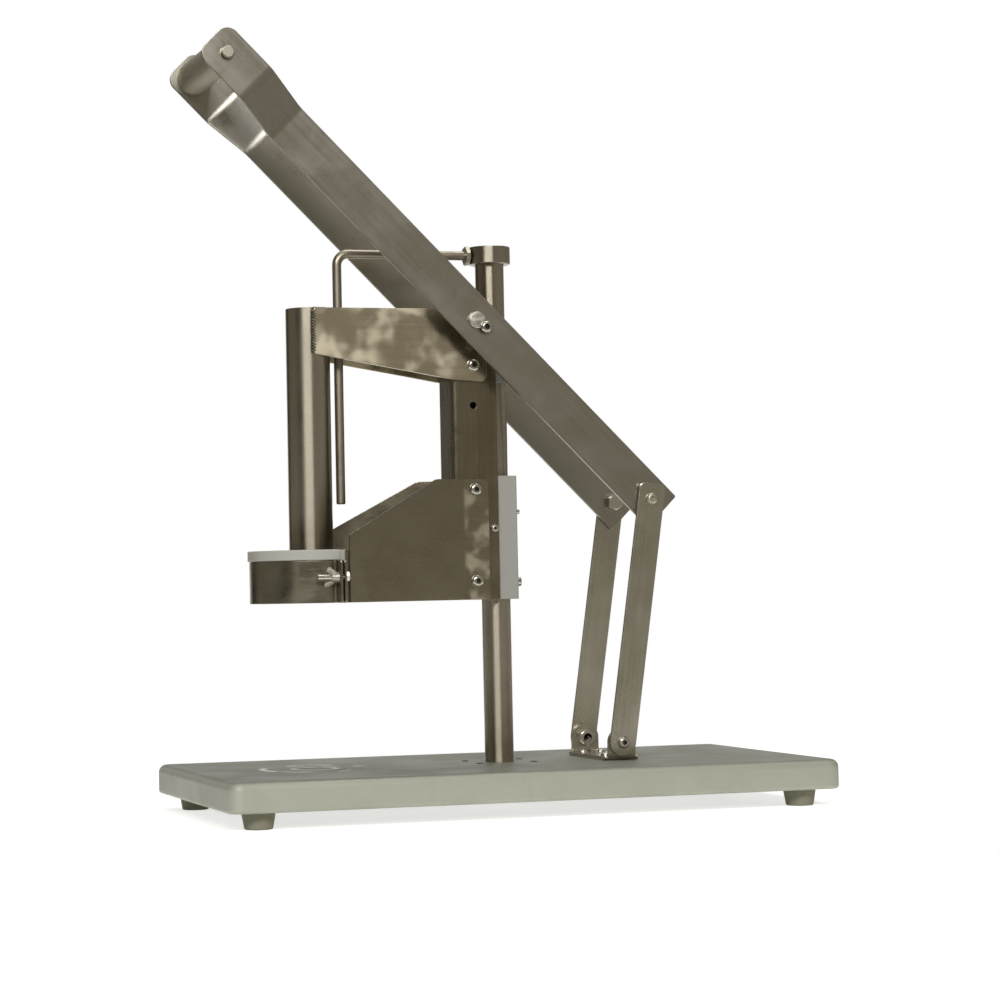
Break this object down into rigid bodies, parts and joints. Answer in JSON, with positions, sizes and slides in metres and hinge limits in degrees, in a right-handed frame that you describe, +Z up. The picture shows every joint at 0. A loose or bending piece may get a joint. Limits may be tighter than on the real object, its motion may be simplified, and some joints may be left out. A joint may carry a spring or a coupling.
{
  "type": "pineapple peeler corer",
  "caption": "Stainless bench-top pineapple peeler and corer: a long hand lever and links push a core tube and ring blade down a guide post onto a sheet base on rubber feet.",
  "frame": {"origin": "on the table, at the centre of the base's outline, under the rubber feet", "axes": "+Z up, +X along the base from the cutter to the links, -Y towards the near side"},
  "size_m": [0.54, 0.28, 0.6669],
  "materials": {
    "pan_steel": "satin",
    "brushed_sheet": "satin",
    "polished_sheet": "polished",
    "bar_steel": "polished",
    "bright_fasteners": "polished",
    "blade_steel": "polished",
    "white_plastic": "matte",
    "rubber": "matte"
  },
  "bodies": {
    "stand": {"base_pan": "pan_steel", "foot_near_left": "rubber", "foot_near_right": "rubber", "foot_far_right": "rubber", "foot_far_left": "rubber", "guide_post": "bar_steel", "post_plate": "brushed_sheet", "post_bolt": "brushed_sheet", "post_collar": "brushed_sheet", "collar_set_screw": "brushed_sheet", "ejector_rod": "bar_steel", "rod_jam_nut": "brushed_sheet", "link_clevis": "brushed_sheet", "clevis_screw_1": "bright_fasteners", "clevis_screw_2": "bright_fasteners", "clevis_screw_3": "bright_fasteners", "clevis_screw_4": "bright_fasteners", "link_foot_bolt_near": "bright_fasteners", "link_foot_bolt_far": "bright_fasteners"},
    "carriage": {"carriage_channel": "polished_sheet", "guide_block_lower": "white_plastic", "guide_block_upper": "white_plastic", "guide_adjuster_1": "brushed_sheet", "guide_adjuster_2": "brushed_sheet", "upper_bracket_near": "polished_sheet", "upper_bracket_far": "polished_sheet", "lower_bracket_near": "polished_sheet", "lower_bracket_far": "polished_sheet", "upper_bracket_screw_near": "bright_fasteners", "lower_bracket_screw_near_1": "bright_fasteners", "lower_bracket_screw_near_2": "bright_fasteners", "upper_bracket_screw_far": "bright_fasteners", "lower_bracket_screw_far_1": "bright_fasteners", "lower_bracket_screw_far_2": "bright_fasteners", "core_tube": "bar_steel", "ring_band_rear": "polished_sheet", "ring_band_front": "polished_sheet", "blade_holder": "white_plastic", "peeling_blade": "blade_steel", "clamp_bolt_near": "bright_fasteners", "wing_nut_near": "bright_fasteners", "clamp_bolt_far": "bright_fasteners", "wing_nut_far": "bright_fasteners", "pivot_spacer_near": "brushed_sheet", "pivot_nut_near": "bright_fasteners", "pivot_spacer_far": "brushed_sheet", "pivot_nut_far": "bright_fasteners", "pivot_bolt": "bright_fasteners"},
    "lever": {"lever_bar_near": "brushed_sheet", "lever_bar_far": "brushed_sheet", "grip_tube": "polished_sheet", "grip_bolt": "bright_fasteners", "grip_nut": "bright_fasteners", "tail_stud_near": "bright_fasteners", "tail_stud_far": "bright_fasteners"},
    "links": {"link_near": "brushed_sheet", "link_top_bolt_near": "bright_fasteners", "link_far": "brushed_sheet", "link_top_bolt_far": "bright_fasteners"}
  },
  "joints": [
    {"name": "carriage_slide", "type": "slide", "parent": "stand", "child": "carriage", "axis": [0, 0, -1], "range_m": [-0.041, 0.141]},
    {"name": "lever_pivot", "type": "hinge", "parent": "carriage", "child": "lever", "pos_m": [-0.021, 0, 0.4236], "axis": [0, 1, 0], "range_deg": [-36.5, 11]},
    {"name": "link_pivot", "type": "hinge", "parent": "stand", "child": "links", "pos_m": [0.10422, 0, 0.0553], "axis": [0, 1, 0], "range_deg": [-7, 22]}
  ],
  "couplings": [
    {"joint": "lever_pivot", "follows": "carriage_slide", "rad_per_m": -4.4},
    {"joint": "link_pivot", "follows": "carriage_slide", "rad_per_m": 2.62}
  ]
}
